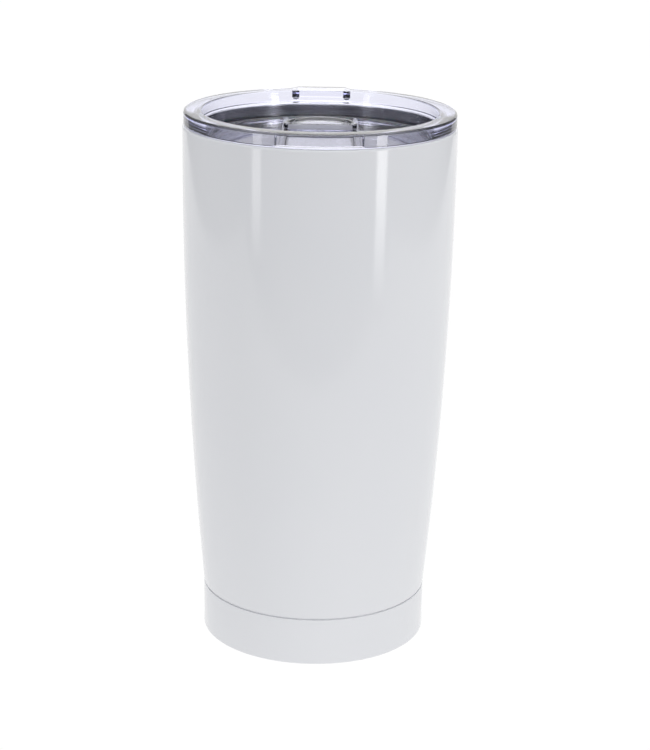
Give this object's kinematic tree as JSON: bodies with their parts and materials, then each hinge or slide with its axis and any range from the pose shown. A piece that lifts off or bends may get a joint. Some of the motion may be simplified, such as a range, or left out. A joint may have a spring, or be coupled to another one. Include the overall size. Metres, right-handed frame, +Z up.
{
  "type": "insulated tumbler with lid",
  "caption": "Double-wall vacuum-insulated steel tumbler with a tapered white body, a seamed base cup and a clear press-in lid with a sliding closure.",
  "frame": {"origin": "on the tumbler's axis, on the plane that the foot ring stands on", "axes": "+Z up along the tumbler's axis from the foot to the lid; -Y towards the drinking side of the lid; +X to the right as seen from the drinking side"},
  "size_m": [0.0874, 0.0891, 0.175],
  "materials": {
    "white_coat": "gloss white polymer coat on stainless steel",
    "brushed_liner": "bright turned and brushed stainless steel",
    "foil": "bright rolled foil",
    "getter": "matt pressed powder",
    "clip_steel": "bare spring strip",
    "sealing_glass": "fused dark sealing glass",
    "port_disc": "satin stainless disc",
    "clear_lid": "polished clear moulded polymer with a faint blue tint",
    "silicone": "translucent satin silicone",
    "clear_slider": "polished clear moulded polymer"
  },
  "bodies": {
    "tumbler": {"outer_shell": "white_coat", "base_cup": "white_coat", "inner_liner": "brushed_liner", "liner_bottom": "brushed_liner", "heat_shield_foil": "foil", "heat_shield_disc": "foil", "getter_tablet": "getter", "getter_clip": "clip_steel", "vacuum_seal_bead": "sealing_glass", "vacuum_port_cover": "port_disc"},
    "lid": {"lid_body": "clear_lid", "lid_gasket": "silicone"},
    "slider": {"slider": "clear_slider"}
  },
  "joints": [
    {"name": "lid_lift", "type": "slide", "parent": "tumbler", "child": "lid", "axis": [0, 0, 1], "range_m": [0, 0.06]},
    {"name": "slider_slide", "type": "slide", "parent": "lid", "child": "slider", "axis": [0, 1, 0], "range_m": [0, 0.011]}
  ]
}
